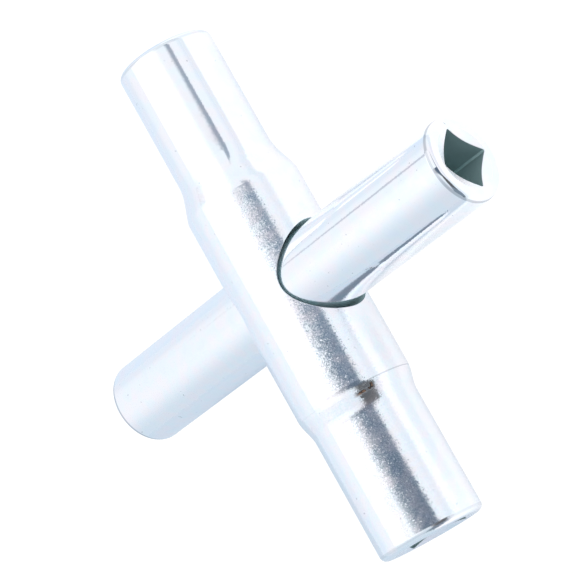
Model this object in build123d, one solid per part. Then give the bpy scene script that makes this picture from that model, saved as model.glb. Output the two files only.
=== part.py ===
"""Four-way radiator and sillcock key.

Two round steel bars cross at right angles. The hub bar lies along X. It is thick in the middle
and turned down at both ends. The cross bar lies along Y, in a loose hole through the hub bar.
A split wire ring sits in a groove round the middle of the cross bar. The hole is wider inside
than at its two mouths, so the ring can travel between the mouths but can't leave. The cross bar
therefore turns freely and slides a few millimetres. Each of the four ends is a square socket of
another size. At rest the cross bar lies slightly high in its hole and slid towards -Y. The origin
is the middle of the two bars' common box. Millimetres.
"""
from build123d import *
import math
import os

# Hub bar: one turned piece along X, with the big end at -X and the small end at +X
HUB_LENGTH = 78.5
HUB_DIA = 17.5
BIG_END_STEP = 0.75            # how far the big end is turned down, on the radius
SMALL_END_STEP = 1.45          # how far the small end is turned down, on the radius
BIG_END_LENGTH = 19.45         # end face to the foot of the shoulder
SMALL_END_LENGTH = 19.35
BIG_SHOULDER_LENGTH = 2.9      # length of the shoulder's cone
SMALL_SHOULDER_LENGTH = 4.3
BIG_SHOULDER_ROUND = 5.0       # rounding where the cone meets the thick middle
SMALL_SHOULDER_ROUND = 2.0
BIG_SHOULDER_BLEND = 5.0       # hollow radius where the cone runs out on the end
SMALL_SHOULDER_BLEND = 8.0

# Cross bar: one turned piece along Y, with its smallest socket at -Y
BAR_LENGTH = 74.5
BAR_DIA = 12.7

# Ends and sockets
END_ROUND = 1.0                # rounding of the outer edge of every end face
END_LAND = 0.7                 # flat ring between the rounding and the countersink
COUNTERSINK_ANGLE = 140.0      # full angle of the countersink's cone
SOCKET_DEPTH = 14.0
SOCKET_CORNER = 0.3            # radius in the corners of a square
PILOT_WALL = 0.1               # the pilot hole is this much inside the flats
PILOT_EXTRA = 3.0              # the pilot hole goes on below the square
DRILL_ANGLE = 118.0
SPINDLE_CLEARANCE = 0.1        # each square is this much wider than its spindle
BIG_END_SPINDLE = 8.73         # 11/32 in
SMALL_END_SPINDLE = 7.94       # 5/16 in
FRONT_SPINDLE = 6.35           # 1/4 in
REAR_SPINDLE = 7.14            # 9/32 in
BIG_END_TURN = 61.0            # turn of each square about its own axis, degrees
SMALL_END_TURN = 0.0
FRONT_TURN = 48.0
REAR_TURN = 0.0

# Place of the cross bar in the hub bar
HOLE_OFFSET = 0.2              # from the hub bar's middle to the cross hole, towards the small end
HOLE_LIFT = 0.4                # the cross hole's axis is this far above the hub bar's axis
BAR_LIFT = 0.7                 # the cross bar's axis is this far above the hub bar's axis
BAR_SLID = 0.6                 # at rest the cross bar is slid this far towards -Y

# Fit of the cross bar in the hub bar
HOLE_CLEARANCE = 0.6           # the hole's mouths are this much larger than the bar, on the radius
HOLE_EDGE_ROUND = 0.08
SLIDE_TRAVEL = 2.5             # the cross bar slides this far each way from its middle place
WIRE_DIA = 1.2                 # wire of the retaining ring
WIRE_EXPOSED = 0.7             # how far the ring stands out of the cross bar
RING_SPLIT_ANGLE = 22.0        # opening in the ring
RING_CLEARANCE = 0.05          # gap between the wire and its groove
RECESS_CLEARANCE = 0.1         # gap between the ring and the wide part of the hole

hub_r = HUB_DIA / 2
big_end_r = hub_r - BIG_END_STEP
small_end_r = hub_r - SMALL_END_STEP
bar_r = BAR_DIA / 2
wire_r = WIRE_DIA / 2
hole_r = bar_r + HOLE_CLEARANCE
ring_outer_r = bar_r + WIRE_EXPOSED
recess_r = ring_outer_r + BAR_LIFT - HOLE_LIFT + RECESS_CLEARANCE
recess_half = SLIDE_TRAVEL + wire_r + RING_CLEARANCE
groove_r = ring_outer_r - WIRE_DIA - RING_CLEARANCE
groove_half = wire_r + RING_CLEARANCE

ALONG_Y = Rot(0, 0, 90)        # turns a piece made along X to lie along Y
HUB_PLACE = Pos(0, BAR_SLID, 0)
HOLE_IN_HUB = Pos(HOLE_OFFSET, 0, HOLE_LIFT)
BAR_PLACE = Pos(HOLE_OFFSET, 0, BAR_LIFT)
TOP_AT_ORIGIN = (Align.CENTER, Align.CENTER, Align.MAX)


def turned(corners, rounds=()):
    """Solid of revolution about X. The corners are (x, radius), each with its own rounding."""
    points = [Vector(x, 0, radius) for x, radius in corners]
    outline = make_face(Polyline(*points, close=True))
    for point, size in zip(points, rounds):
        if size:
            outline = fillet(outline.vertices().sort_by_distance(point)[0], size)
    return revolve(outline, Axis.X)


def cone_height(radius, full_angle):
    """Height of a cone from its tip to where it has this radius."""
    return radius / math.tan(math.radians(full_angle / 2))


def socket_tool(spindle, end_r):
    """The square with its pilot hole, and the countersink, from the face at z = 0 down."""
    side = spindle + SPINDLE_CLEARANCE
    square = extrude(fillet(Rectangle(side, side).vertices(), SOCKET_CORNER), -SOCKET_DEPTH)
    pilot_r = side / 2 - PILOT_WALL
    pilot_depth = SOCKET_DEPTH + PILOT_EXTRA
    pilot = Cylinder(pilot_r, pilot_depth, align=TOP_AT_ORIGIN)
    tip = Cone(0, pilot_r, cone_height(pilot_r, DRILL_ANGLE), align=TOP_AT_ORIGIN)
    sink_r = end_r - END_ROUND - END_LAND
    sink = Cone(0, sink_r, cone_height(sink_r, COUNTERSINK_ANGLE), align=TOP_AT_ORIGIN)
    return square + pilot + Pos(0, 0, -pilot_depth) * tip, sink


def cut_socket(bar, outward, distance, spindle, end_r, turn):
    """Cuts a socket into the end face that looks along outward, at this distance out."""
    face = Plane(origin=Vector(*outward) * distance, x_dir=(0, 0, 1), z_dir=outward)
    hole, sink = socket_tool(spindle, end_r)
    return bar - face * Rot(0, 0, turn) * hole - face * sink


def make_hub_bar():
    """The thick bar: turned profile, a socket in each end and the hole for the cross bar."""
    half = HUB_LENGTH / 2
    big_foot = BIG_END_LENGTH - half
    small_foot = half - SMALL_END_LENGTH
    corners = [
        (-half, 0), (-half, big_end_r), (big_foot, big_end_r),
        (big_foot + BIG_SHOULDER_LENGTH, hub_r), (small_foot - SMALL_SHOULDER_LENGTH, hub_r),
        (small_foot, small_end_r), (half, small_end_r), (half, 0),
    ]
    rounds = [0, END_ROUND, BIG_SHOULDER_BLEND, BIG_SHOULDER_ROUND, SMALL_SHOULDER_ROUND,
              SMALL_SHOULDER_BLEND, END_ROUND, 0]
    bar = turned(corners, rounds)
    bar = cut_socket(bar, (-1, 0, 0), half, BIG_END_SPINDLE, big_end_r, BIG_END_TURN)
    bar = cut_socket(bar, (1, 0, 0), half, SMALL_END_SPINDLE, small_end_r, SMALL_END_TURN)

    bar -= HOLE_IN_HUB * Rot(90, 0, 0) * Cylinder(hole_r, 2 * HUB_DIA)
    bar = fillet(bar.edges().filter_by(is_hole_mouth), HOLE_EDGE_ROUND)
    return HUB_PLACE * (bar - HOLE_IN_HUB * hole_recess())


def is_hole_mouth(edge):
    """True for an edge where the cross hole breaks the outside of the hub bar."""
    box = edge.bounding_box()
    return abs(box.center().X - HOLE_OFFSET) < hole_r and abs(box.center().Y) > recess_half


def hole_recess():
    """The wide inner part of the cross hole, with 45 degree ends."""
    step = recess_r - hole_r
    half = recess_half + step
    corners = [(-half, 0), (-half, hole_r), (-recess_half, recess_r),
               (recess_half, recess_r), (half, hole_r), (half, 0)]
    return ALONG_Y * turned(corners)


def make_cross_bar():
    """The thin bar: a socket in each end and the ring's groove round the middle."""
    half = BAR_LENGTH / 2
    corners = [(-half, 0), (-half, bar_r), (-groove_half, bar_r), (-groove_half, groove_r),
               (groove_half, groove_r), (groove_half, bar_r), (half, bar_r), (half, 0)]
    rounds = [0, END_ROUND, 0, 0, 0, 0, END_ROUND, 0]
    bar = ALONG_Y * turned(corners, rounds)
    bar = cut_socket(bar, (0, -1, 0), half, FRONT_SPINDLE, bar_r, FRONT_TURN)
    bar = cut_socket(bar, (0, 1, 0), half, REAR_SPINDLE, bar_r, REAR_TURN)
    return BAR_PLACE * bar


def make_retaining_ring():
    """Split ring of round wire about Y, with its opening upwards."""
    middle = ring_outer_r - wire_r
    wire = Plane.XY * Pos(middle, 0, 0) * Circle(wire_r)
    ring = revolve(wire, Axis.Y, 360 - RING_SPLIT_ANGLE)
    return BAR_PLACE * Rot(0, -90 - RING_SPLIT_ANGLE / 2, 0) * ring


NODES = {
    "hub_bar": make_hub_bar,
    "cross_bar": make_cross_bar,
    "retaining_ring": make_retaining_ring,
}

os.makedirs("parts", exist_ok=True)
for name, make in NODES.items():
    export_step(make(), f"parts/{name}.step")
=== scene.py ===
"""Looks of the four-way radiator key: zinc-plated steel bars on a pale floor in soft light."""
import math

import bpy
from mathutils import Matrix, Vector


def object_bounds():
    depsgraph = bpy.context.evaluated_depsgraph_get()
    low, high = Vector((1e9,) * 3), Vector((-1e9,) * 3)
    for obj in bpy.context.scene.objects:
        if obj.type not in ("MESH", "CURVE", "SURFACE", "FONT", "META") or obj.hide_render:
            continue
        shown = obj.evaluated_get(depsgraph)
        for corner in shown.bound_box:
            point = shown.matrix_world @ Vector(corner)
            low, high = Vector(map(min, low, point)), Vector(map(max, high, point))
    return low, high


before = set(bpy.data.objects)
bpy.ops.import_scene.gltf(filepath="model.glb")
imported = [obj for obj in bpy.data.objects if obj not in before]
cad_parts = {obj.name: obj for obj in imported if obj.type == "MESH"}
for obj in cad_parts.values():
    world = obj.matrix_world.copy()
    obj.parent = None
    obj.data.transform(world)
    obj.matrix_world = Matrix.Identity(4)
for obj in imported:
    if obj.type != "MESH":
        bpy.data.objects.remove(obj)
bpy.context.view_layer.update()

MM = 0.001

# The key as in the CAD, in millimetres: the bars' axes, half their lengths, and the radii of their
# sockets' countersinks and of what holds each whole socket
HUB_AXIS_Y = 0.6
BAR_AXIS_X, BAR_AXIS_Z = 0.2, 0.7
HUB_HALF, BAR_HALF = 39.25, 37.25
BIG_SINK_RADIUS, SMALL_SINK_RADIUS, BAR_SINK_RADIUS = 6.3, 5.6, 4.65
HUB_SOCKET_RADIUS, BAR_SOCKET_RADIUS = 6.5, 5.2
HUB_RADIUS = 8.75
SINK_SLOPE = math.tan(math.radians(20.0))   # of a 140 degree countersink
FRONT_TURN = math.radians(48.0)     # turn of the front square about the cross bar's axis
FRONT_HALF_FLAT = 2.9               # from that axis to where a flat of the square runs into its corner
SHOULDER_X = -16.9                  # where the big end's shoulder begins
# Where the painted reflection of a dark thing sits on the shoulder
DARK_REFLECTION_X = -17.7

# Camera: direction round the object, roll about the line of sight, the point that its distance is
# measured from, and how far that point lies beside the middle of the picture (right, up)
CAMERA_AZIMUTH = -14.08
CAMERA_ELEVATION = 47.24
CAMERA_ROLL = -108.9
CAMERA_DISTANCE = 354.0 * MM
CROSSING = Vector((0.12, HUB_AXIS_Y, 0.0)) * MM
CROSSING_ASIDE = (1.278 * MM, -0.520 * MM)
LENS = 158.4
SENSOR = 36.0

# Light of the tent, as linear colours
WHITE = (1.0, 1.0, 1.0, 1)
WALL_LEFT, WALL_RIGHT = (0.70, 0.78, 0.86, 1), (0.84, 0.90, 0.98, 1)
WALL_UPPER = (0.96, 0.99, 1.03, 1)
SOFTBOX = (1.35, 1.36, 1.38, 1)
SEAM = (0.60, 0.62, 0.70, 1)
OPENING_LEFT, OPENING_MIDDLE = (0.02, 0.015, 0.015, 1), (0.05, 0.09, 0.15, 1)
OPENING_RIGHT = (0.16, 0.22, 0.31, 1)
OPENING_FRINGE = (0.62, 0.50, 0.52, 1)
TENT_CORNER = (0.22, 0.27, 0.33, 1)

# The table: its own colour, and the painted light that it gives off in front of, beside and behind
# the key, darker far in front, beside and behind it as painted shade
TABLE = (0.55, 0.55, 0.55, 1)
TABLE_HALF_SIZE = 2.0
GLOW_FAR, GLOW_FRONT = (0.38, 0.40, 0.43, 1), (0.62, 0.62, 0.63, 1)
GLOW_BESIDE = (0.34, 0.37, 0.40, 1)
GLOW_BEHIND_LEFT, GLOW_BEHIND_RIGHT = (0.17, 0.24, 0.31, 1), (0.31, 0.37, 0.45, 1)
TABLE_SEEN = (1.1, 1.1, 1.1, 1)

# Zinc plate: tints with their place on the scale of the noise that spreads them, and marks
TINTS = (
    (0.30, (0.89, 0.94, 1.0, 1)), (0.42, (0.90, 0.955, 0.98, 1)), (0.52, (0.93, 0.94, 0.985, 1)),
    (0.60, (0.95, 0.94, 0.96, 1)), (0.72, (0.96, 0.925, 0.97, 1)),
)
GRAINS_PER_MM = 7.0
GRAIN_LEAN, ODD_GRAIN_LEAN = 0.038, 0.10    # how far most grains and the odd ones lean
# The second colour is painted shade along edges: the shoulder's edge and the rims of the ends
SPECK, PAINTED_EDGE_SHADE = (0.35, 0.38, 0.42, 1), (0.22, 0.25, 0.30, 1)
# The pale socket colour is also that of the painted glint in the front socket's corners
SOCKET_DARK, SOCKET_PALE = (0.24, 0.35, 0.35, 1), (0.70, 0.92, 0.92, 1)
# Painted reflection of a dark thing on the shoulder: its dark colour and its orange specks
REFLECTED_DARK, ORANGE_SPECK = (0.05, 0.042, 0.04, 1), (0.26, 0.16, 0.11, 1)
HUB_ROUGHNESS, BAR_ROUGHNESS = 0.13, 0.08


class Nodes:
    """A node tree with short calls for the nodes that the materials and the world need."""

    def __init__(self, tree):
        self.tree = tree
        tree.nodes.clear()

    def add(self, kind, inputs=None, **settings):
        node = self.tree.nodes.new(kind)
        for name, value in settings.items():
            setattr(node, name, value)
        for key, value in (inputs or {}).items():
            self.feed(node.inputs[key], value)
        return node

    def feed(self, socket, value):
        if isinstance(value, bpy.types.NodeSocket):
            self.tree.links.new(value, socket)
        else:
            socket.default_value = value

    def math(self, operation, a, b=0.0):
        return self.add("ShaderNodeMath", {0: a, 1: b}, operation=operation).outputs[0]

    def product(self, result, *factors):
        for factor in factors:
            result = self.math("MULTIPLY", result, factor)
        return result

    def apart(self, a, b):
        """Distance between two values."""
        return self.math("ABSOLUTE", self.math("SUBTRACT", a, b))

    def radius(self, a, b):
        return self.math("SQRT", self.math("ADD", self.product(a, a), self.product(b, b)))

    def ease(self, value, start, end, low=0.0, high=1.0):
        """Smooth step: low where value is at start, high where it is at end."""
        inputs = {"Value": value, "From Min": start, "From Max": end, "To Min": low, "To Max": high}
        return self.add("ShaderNodeMapRange", inputs, interpolation_type="SMOOTHSTEP").outputs[0]

    def window(self, value, start, full, last_full, end):
        """1 where value is from full to last_full, 0 at start and end."""
        return self.product(self.ease(value, start, full), self.ease(value, end, last_full))

    def blend(self, factor, a, b):
        """Colour a where factor is 0, colour b where it is 1."""
        node = self.add("ShaderNodeMix", data_type="RGBA")
        self.feed(node.inputs[0], factor)
        self.feed(node.inputs[6], a)
        self.feed(node.inputs[7], b)
        return node.outputs[2]

    def vector(self, operation, vector, **inputs):
        node = self.add("ShaderNodeVectorMath", {0: vector}, operation=operation)
        for name, value in inputs.items():
            self.feed(node.inputs[1 if name == "other" else "Scale"], value)
        return node.outputs[0]

    def noise(self, place, scale, detail):
        inputs = {"Vector": place, "Scale": scale, "Detail": detail}
        return self.add("ShaderNodeTexNoise", inputs).outputs[0]

    def split(self, vector):
        return self.add("ShaderNodeSeparateXYZ", {0: vector}).outputs

    def camera_ray(self):
        return self.add("ShaderNodeLightPath").outputs["Is Camera Ray"]


def add_camera():
    azimuth, elevation = math.radians(CAMERA_AZIMUTH), math.radians(CAMERA_ELEVATION)
    back = Vector((
        math.sin(azimuth) * math.cos(elevation),
        -math.cos(azimuth) * math.cos(elevation),
        math.sin(elevation),
    ))
    upright = back.to_track_quat("Z", "Y").to_matrix()
    turn = upright @ Matrix.Rotation(math.radians(CAMERA_ROLL), 3, "Z")
    place = CROSSING + back * CAMERA_DISTANCE - turn @ Vector((*CROSSING_ASIDE, 0))
    camera = bpy.data.objects.new("camera", bpy.data.cameras.new("camera"))
    camera.data.lens = LENS
    camera.data.sensor_width = SENSOR
    camera.data.clip_start = 0.01
    camera.matrix_world = Matrix.Translation(place) @ turn.to_4x4()
    bpy.context.collection.objects.link(camera)
    bpy.context.scene.camera = camera


def add_world():
    """White light tent round the key. The camera itself sees plain white."""
    world = bpy.data.worlds.new("tent")
    world.use_nodes = True
    bpy.context.scene.world = world
    n = Nodes(world.node_tree)
    x, y, z = n.split(n.add("ShaderNodeTexCoord").outputs["Generated"])
    light = add_opening(n, tent_walls(n, x, y, z), x, y, z)

    # dark corner, low at the left, on the camera's side
    corner = n.product(n.ease(x, -0.5, -0.62), n.ease(y, -0.15, -0.35), n.ease(z, 0.62, 0.48))
    light = n.blend(corner, light, TENT_CORNER)

    light = n.blend(n.camera_ray(), light, WHITE)
    background = n.add("ShaderNodeBackground", {"Color": light})
    n.add("ShaderNodeOutputWorld", {"Surface": background.outputs[0]})


def tent_walls(n, x, y, z):
    """Pale blue walls, brighter high up at the back, with the softbox and the seam beside it."""
    height = n.math("MAXIMUM", z, 0.02)
    across, along = n.math("DIVIDE", x, height), n.math("DIVIDE", y, height)
    rightward = n.ease(x, -0.75, 0.0)
    light = n.blend(rightward, WALL_LEFT, WALL_RIGHT)
    upper = n.product(n.ease(along, 3.6, 1.1), n.ease(z, 0.0, 0.2), rightward)
    light = n.blend(upper, light, WALL_UPPER)

    box = n.product(n.ease(across, 1.44, 1.40), n.window(along, -0.75, -0.15, 0.35, 1.05))
    light = n.blend(n.product(box, n.ease(x, -0.5, 0.25)), light, SOFTBOX)

    seam = n.product(n.window(across, 1.2, 1.38, 1.45, 1.65), n.ease(along, 1.6, 1.4))
    return n.blend(n.product(seam, n.ease(y, 0.2, 0.4)), light, SEAM)


def add_opening(n, light, x, y, z):
    """Dark opening above the front wall. It starts higher and sharper towards +X.

    slope is the ray's height in degrees, counted from the back. The opening's edge is half dark at
    start, and soft is half the width of that edge.
    """
    slope = n.math("DEGREES", n.math("ARCTAN2", z, y))
    start = n.math("SUBTRACT", n.product(x, 300.0), 14.0)
    start = n.math("MAXIMUM", start, n.ease(x, 0.05, -0.2, 10.0, 50.0))
    start = n.math("ADD", n.math("MINIMUM", start, 54.0), n.ease(x, 0.2, 0.24, 89.5, 90.5))
    soft = n.math("SUBTRACT", 25.0, n.product(n.math("ABSOLUTE", x), 80.0))
    soft = n.math("MAXIMUM", soft, 4.0)
    slant = n.math("DIVIDE", n.math("SUBTRACT", slope, start), soft)

    sill = n.math("SUBTRACT", z, n.ease(x, -0.22, -0.02, 0.05, 0.41))
    dark = n.product(n.ease(slant, -1.0, 1.0), n.ease(y, 0.1, -0.25), n.ease(sill, 0.0, 0.02))
    dark = n.product(dark, n.ease(z, 0.42, 0.62, 0.94, 1.0), n.ease(x, 0.16, 0.26, 0.93, 0.76))
    inside = n.blend(n.ease(x, 0.08, 0.13), OPENING_MIDDLE, OPENING_RIGHT)
    inside = n.blend(n.ease(x, -0.05, -0.2), inside, OPENING_LEFT)
    light = n.blend(dark, light, inside)

    fringe = n.product(n.window(slant, -1.3, -0.8, -0.6, -0.1), n.window(x, -0.1, 0.0, 0.06, 0.16))
    return n.blend(n.product(fringe, 0.5), light, OPENING_FRINGE)


def add_floor():
    """Pale table that gives off painted light: the camera sees it plain white, the metal mirrors its
    glow darker behind the key, as painted shade.

    Far in front and in a small patch beside the key, the mirrored glow is a little darker too, also
    painted shade.
    """
    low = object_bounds()[0]
    half = TABLE_HALF_SIZE
    mesh = bpy.data.meshes.new("floor")
    corners = [(-half, -half, low.z), (half, -half, low.z), (half, half, low.z), (-half, half, low.z)]
    mesh.from_pydata(corners, [], [(0, 1, 2, 3)])
    floor = bpy.data.objects.new("floor", mesh)
    bpy.context.collection.objects.link(floor)
    mesh.materials.append(floor_white())


def floor_white():
    material = bpy.data.materials.new("floor_white")
    material.use_nodes = True
    n = Nodes(material.node_tree)
    x, y, _ = n.split(n.add("ShaderNodeNewGeometry").outputs["Position"])
    # Painted light of the table, with painted shade far in front, beside and behind the key
    glow = n.blend(n.ease(y, -0.10, -0.06), GLOW_FAR, GLOW_FRONT)
    beside = n.window(x, -0.045, -0.025, -0.012, -0.004)
    beside = n.product(beside, n.window(y, -0.03, -0.022, -0.015, -0.01))
    glow = n.blend(n.product(beside, 0.5), glow, GLOW_BESIDE)
    behind = n.blend(n.ease(x, -0.02, 0.02), GLOW_BEHIND_LEFT, GLOW_BEHIND_RIGHT)
    glow = n.blend(n.ease(y, -0.010, 0.006), glow, behind)
    seen = n.camera_ray()
    shader = n.add("ShaderNodeBsdfPrincipled", {
        "Base Color": n.blend(seen, TABLE, (0, 0, 0, 1)), "Roughness": 0.9,
        "Specular IOR Level": 0.0,
        "Emission Color": n.blend(seen, glow, TABLE_SEEN), "Emission Strength": 1.0,
    })
    n.add("ShaderNodeOutputMaterial", {"Surface": shader.outputs[0]})
    return material


def socket_masks(n, along, radius, half, sink_radius, limit):
    """Masks for the end sockets of one bar, 1 on what they mark, and the depth below the end face.

    The masks are the walls, the countersink, and a line of painted shade round the outer edge of the
    end.
    """
    depth = n.math("SUBTRACT", half, n.math("ABSOLUTE", along))
    cone = n.product(n.math("MAXIMUM", n.math("SUBTRACT", sink_radius, radius), 0.0), SINK_SLOPE)
    walls = n.ease(n.math("SUBTRACT", depth, cone), 0.03, 0.12)
    walls = n.product(walls, n.ease(radius, limit + 0.1, limit - 0.05))
    sink = n.product(n.ease(depth, 0.0, 0.03), n.ease(radius, limit, limit - 0.3))
    # Painted shade: a dark ring round the rounded outer edge of the end
    rim_shade = n.product(n.ease(n.apart(depth, 0.72), 0.3, 0.1), n.ease(radius, limit, limit + 0.2))
    return walls, sink, rim_shade, depth


def hub_masks(n, x, y, z):
    """Where the hub bar's surface differs, as values from 0 to 1.

    walls are those of its sockets and its cross hole, sink is the countersinks, grain is the strength
    of the grain, the edge line is painted shade along the shoulder's edge, stronger lower down, and
    round the rims of the ends, pale is how pale the walls are, and the dark patch marks a painted
    reflection of a dark thing, with orange specks, in the corner of the shoulder, on the front.
    """
    radius = n.radius(n.math("SUBTRACT", y, HUB_AXIS_Y), z)
    sink_radius = n.ease(x, -1.0, 1.0, BIG_SINK_RADIUS, SMALL_SINK_RADIUS)
    walls, sink, rim_shade, depth = socket_masks(n, x, radius, HUB_HALF, sink_radius, HUB_SOCKET_RADIUS)
    hole = n.product(n.ease(n.apart(x, BAR_AXIS_X), 9.5, 9.0),
                     n.ease(radius, HUB_RADIUS - 0.03, HUB_RADIUS - 0.13))
    # Painted shade along the shoulder's edge, stronger lower down
    edge_shade = n.product(n.ease(n.apart(x, SHOULDER_X), 0.14, 0.04), n.ease(z, 6.0, 3.5, 0.05, 0.4))
    # Painted reflection of a dark thing, in the corner of the shoulder, on the front
    dark_reflection = n.product(n.ease(n.apart(x, DARK_REFLECTION_X), 0.7, 0.35), n.ease(y, -3.0, -4.0))
    return {
        "walls": n.math("MAXIMUM", walls, hole),
        "sink": sink,
        "grain": n.ease(x, 24.0, 8.0, 0.25, 1.0),
        "edge_shade": n.math("MAXIMUM", edge_shade, n.product(rim_shade, 0.2)),
        "pale": n.ease(depth, 0.5, 7.0, 0.0, 0.7),
        "dark_reflection": n.product(dark_reflection, n.window(z, 3.5, 4.2, 5.8, 6.6)),
    }


def bar_masks(n, x, y, z):
    """The same for the cross bar. Its front socket has a painted highlight: a pale glint line where
    two flats meet.
    """
    right, up = n.math("SUBTRACT", x, BAR_AXIS_X), n.math("SUBTRACT", z, BAR_AXIS_Z)
    walls, sink, rim_shade, depth = socket_masks(n, y, n.radius(right, up), BAR_HALF, BAR_SINK_RADIUS,
                                           BAR_SOCKET_RADIUS)
    cos, sin = math.cos(FRONT_TURN), math.sin(FRONT_TURN)
    across = n.apart(n.product(up, cos), n.product(right, sin))
    down = n.math("ABSOLUTE", n.math("ADD", n.product(up, sin), n.product(right, cos)))
    # Painted glint in the front socket's corners, where two flats meet
    corner_glint = n.ease(n.math("MINIMUM", across, down), FRONT_HALF_FLAT, FRONT_HALF_FLAT + 0.16)
    corner_glint = n.product(corner_glint, n.ease(y, 0.0, -1.0, 0.0, 0.55))
    return {
        "walls": walls,
        "sink": sink,
        "grain": n.ease(y, -5.0, 10.0, 0.25, 0.5),
        # Painted shade round the rims of the ends
        "edge_shade": n.product(rim_shade, 0.6),
        "pale": n.math("ADD", n.ease(depth, 0.5, 7.0, 0.0, 0.5), corner_glint),
        "dark_reflection": 0.0,
    }


def plate_colour(n, place, mask, patches, grains):
    """Thin-film tints, specks, painted shade along edges, dark socket walls with a painted glint, and
    the painted reflection of a dark thing on the shoulder, which it breaks up.
    """
    ramp = n.add("ShaderNodeValToRGB", {0: patches})
    stops = ramp.color_ramp.elements
    stops.remove(stops[0])
    stops[0].position, stops[0].color = TINTS[-1]
    for position, tint in TINTS[:-1]:
        stops.new(position).color = tint
    grained = n.add("ShaderNodeMix", data_type="RGBA", blend_type="OVERLAY")
    n.feed(grained.inputs[0], n.product(mask["grain"], 0.3))
    n.feed(grained.inputs[6], ramp.outputs[0])
    n.feed(grained.inputs[7], grains)

    specks = n.ease(n.noise(place, 1.6, 1.0), 0.745, 0.80, 0.0, 0.5)
    colour = n.blend(specks, grained.outputs[2], SPECK)
    # Painted shade along the shoulder's edge and round the rims of the ends
    colour = n.blend(n.product(mask["edge_shade"], 0.85), colour, PAINTED_EDGE_SHADE)
    # Socket walls, darker near the mouth, with the cross bar's painted glint in its front socket's
    # corners
    colour = n.blend(mask["walls"], colour, n.blend(mask["pale"], SOCKET_DARK, SOCKET_PALE))
    # The painted reflection of a dark thing, broken into blotches with orange specks
    blotches = n.noise(place, 1.3, 2.0)
    mask["dark_reflection"] = n.product(mask["dark_reflection"], n.ease(blotches, 0.42, 0.56))
    return n.blend(mask["dark_reflection"], colour, n.blend(n.ease(blotches, 0.57, 0.66), REFLECTED_DARK, ORANGE_SPECK))


def grained_normal(n, place, grain, grains):
    """Every grain leans its own way, some of them more, on a faintly wavy surface."""
    centred = n.vector("SUBTRACT", grains, other=(0.5, 0.5, 0.5))
    lean = n.product(grain, n.ease(n.split(grains)[2], 0.6, 1.0, GRAIN_LEAN, ODD_GRAIN_LEAN))
    swell = n.noise(place, 0.35, 2.0)
    bump = n.add("ShaderNodeBump", {"Height": swell, "Strength": 0.5, "Distance": 0.02 * MM})
    leaning = n.vector("ADD", bump.outputs[0], other=n.vector("SCALE", centred, scale=lean))
    return n.vector("NORMALIZE", leaning)


def zinc(name, roughness, masks):
    """Bright zinc plate: cold white metal with fine grains. Socket walls and the painted reflection on
    the shoulder aren't metallic.
    """
    material = bpy.data.materials.new(name)
    material.use_nodes = True
    n = Nodes(material.node_tree)
    metres = n.add("ShaderNodeTexCoord").outputs["Object"]
    place = n.vector("SCALE", metres, scale=1 / MM)
    mask = masks(n, *n.split(place))
    grains = n.add("ShaderNodeTexVoronoi", {"Vector": place, "Scale": GRAINS_PER_MM}).outputs["Color"]
    patches = n.noise(place, 0.5, 1.5)
    colour = plate_colour(n, place, mask, patches, grains)

    satin = n.ease(patches, 0.3, 0.7, roughness, roughness * 1.5)
    satin = n.product(satin, n.ease(mask["grain"], 0.0, 1.0, 0.4, 1.0))
    dull = n.math("ADD", mask["walls"], n.math("MAXIMUM", mask["walls"], mask["sink"]))
    matt = n.math("MAXIMUM", mask["walls"], mask["dark_reflection"])
    shader = n.add("ShaderNodeBsdfPrincipled", {
        "Base Color": colour, "Metallic": n.ease(matt, 0.0, 1.0, 1.0, 0.0),
        "Roughness": n.math("ADD", n.product(dull, 0.3), satin),
        "Normal": grained_normal(n, place, mask["grain"], grains),
    })
    n.add("ShaderNodeOutputMaterial", {"Surface": shader.outputs[0]})
    return material


def spring_wire():
    """Dark oiled wire with fine drawing marks round the ring."""
    material = bpy.data.materials.new("spring_wire")
    material.use_nodes = True
    n = Nodes(material.node_tree)
    marks = n.noise(n.add("ShaderNodeTexCoord").outputs["Object"], 2.5 / MM, 3.0)
    colour = n.blend(n.ease(marks, 0.35, 0.65), (0.16, 0.17, 0.18, 1), (0.34, 0.34, 0.35, 1))
    bump = n.add("ShaderNodeBump", {"Height": marks, "Strength": 0.4, "Distance": 0.01 * MM})
    shader = n.add("ShaderNodeBsdfPrincipled", {
        "Base Color": colour, "Metallic": 1.0, "Roughness": n.ease(marks, 0.3, 0.7, 0.25, 0.45),
        "Normal": bump.outputs[0],
    })
    n.add("ShaderNodeOutputMaterial", {"Surface": shader.outputs[0]})
    return material


bpy.context.scene.view_settings.view_transform = "Standard"
add_camera()
add_world()
add_floor()
for node, material in {
    "hub_bar": zinc("hub_zinc", HUB_ROUGHNESS, hub_masks),
    "cross_bar": zinc("cross_zinc", BAR_ROUGHNESS, bar_masks),
    "retaining_ring": spring_wire(),
}.items():
    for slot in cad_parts[node].material_slots:
        slot.material = material
